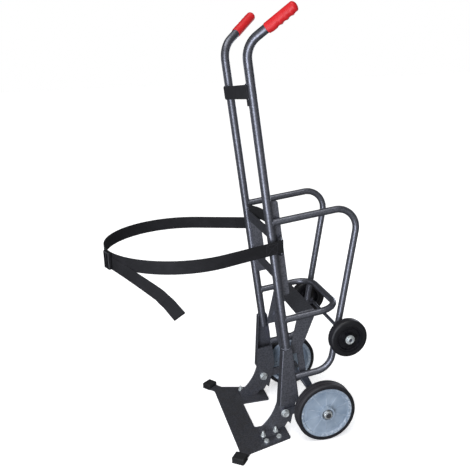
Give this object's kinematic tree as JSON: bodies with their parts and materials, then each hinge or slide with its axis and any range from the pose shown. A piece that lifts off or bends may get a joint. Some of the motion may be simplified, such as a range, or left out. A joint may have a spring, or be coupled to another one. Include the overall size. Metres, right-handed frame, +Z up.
{
  "type": "drum trolley",
  "caption": "Upright steel trolley that tips and wheels a steel drum: tubular frame with splayed handles, toe plate, rear bails with support wheels, and a webbing strap with a buckle.",
  "frame": {"origin": "on the floor at the middle of the trolley's overall box, in the standing pose", "axes": "+X runs back from the drum side to the operator side, +Y to the right seen by someone facing the drum side's left flank, +Z up from the floor"},
  "size_m": [0.9445, 0.6256, 1.6098],
  "materials": {
    "hammer_paint": "dark grey hammertone enamel",
    "black_paint": "satin black enamel",
    "red_grip": "soft red moulded plastic",
    "webbing": "black woven polyester webbing",
    "black_buckle": "black moulded plastic",
    "main_rim": "blue-grey moulded plastic",
    "rear_rim": "black moulded plastic",
    "main_tyre": "solid black rubber",
    "rear_tyre": "solid black rubber",
    "stop_rubber": "black rubber",
    "zinc": "bright zinc plate",
    "bearing": "plain steel"
  },
  "bodies": {
    "frame": {"back_band": "webbing", "foot_bolts": "zinc", "left_axle_brace": "hammer_paint", "left_axle_strut": "hammer_paint", "left_bail": "hammer_paint", "left_foot": "hammer_paint", "left_grip": "red_grip", "left_leg": "hammer_paint", "left_strap_rail": "hammer_paint", "left_upright": "hammer_paint", "lower_cross_bar": "hammer_paint", "main_axle": "bearing", "main_axle_nuts": "zinc", "main_axle_spacers": "hammer_paint", "main_axle_washers": "bearing", "rear_axle": "hammer_paint", "rear_axle_caps": "zinc", "rear_axle_lugs": "hammer_paint", "rear_axle_spacers": "hammer_paint", "rear_axle_washers": "zinc", "rear_hoop": "hammer_paint", "right_axle_brace": "hammer_paint", "right_axle_strut": "hammer_paint", "right_bail": "hammer_paint", "right_foot": "hammer_paint", "right_grip": "red_grip", "right_leg": "hammer_paint", "right_strap_rail": "hammer_paint", "right_upright": "hammer_paint", "strap": "webbing", "strap_buckle": "black_buckle", "strap_staples": "hammer_paint", "strap_tail": "webbing", "toe_bolts": "zinc", "toe_plate": "hammer_paint", "toe_stops": "stop_rubber", "upper_brace": "black_paint", "upper_cross_bar": "hammer_paint", "yoke": "hammer_paint"},
    "left_main_wheel": {"left_main_rim": "main_rim", "left_main_tyre": "main_tyre", "left_main_bearing": "bearing"},
    "right_main_wheel": {"right_main_rim": "main_rim", "right_main_tyre": "main_tyre", "right_main_bearing": "bearing"},
    "left_rear_wheel": {"left_rear_rim": "rear_rim", "left_rear_tyre": "rear_tyre", "left_rear_bearing": "bearing"},
    "right_rear_wheel": {"right_rear_rim": "rear_rim", "right_rear_tyre": "rear_tyre", "right_rear_bearing": "bearing"}
  },
  "joints": [
    {"name": "left_main_wheel_spin", "type": "hinge", "parent": "frame", "child": "left_main_wheel", "pos_m": [0.30419, 0, 0.118], "axis": [0, 1, 0], "continuous": true},
    {"name": "right_main_wheel_spin", "type": "hinge", "parent": "frame", "child": "right_main_wheel", "pos_m": [0.30419, 0, 0.118], "axis": [0, 1, 0], "continuous": true},
    {"name": "left_rear_wheel_spin", "type": "hinge", "parent": "frame", "child": "left_rear_wheel", "pos_m": [0.39601, 0, 0.41164], "axis": [0, 1, 0], "continuous": true},
    {"name": "right_rear_wheel_spin", "type": "hinge", "parent": "frame", "child": "right_rear_wheel", "pos_m": [0.39601, 0, 0.41164], "axis": [0, 1, 0], "continuous": true}
  ]
}
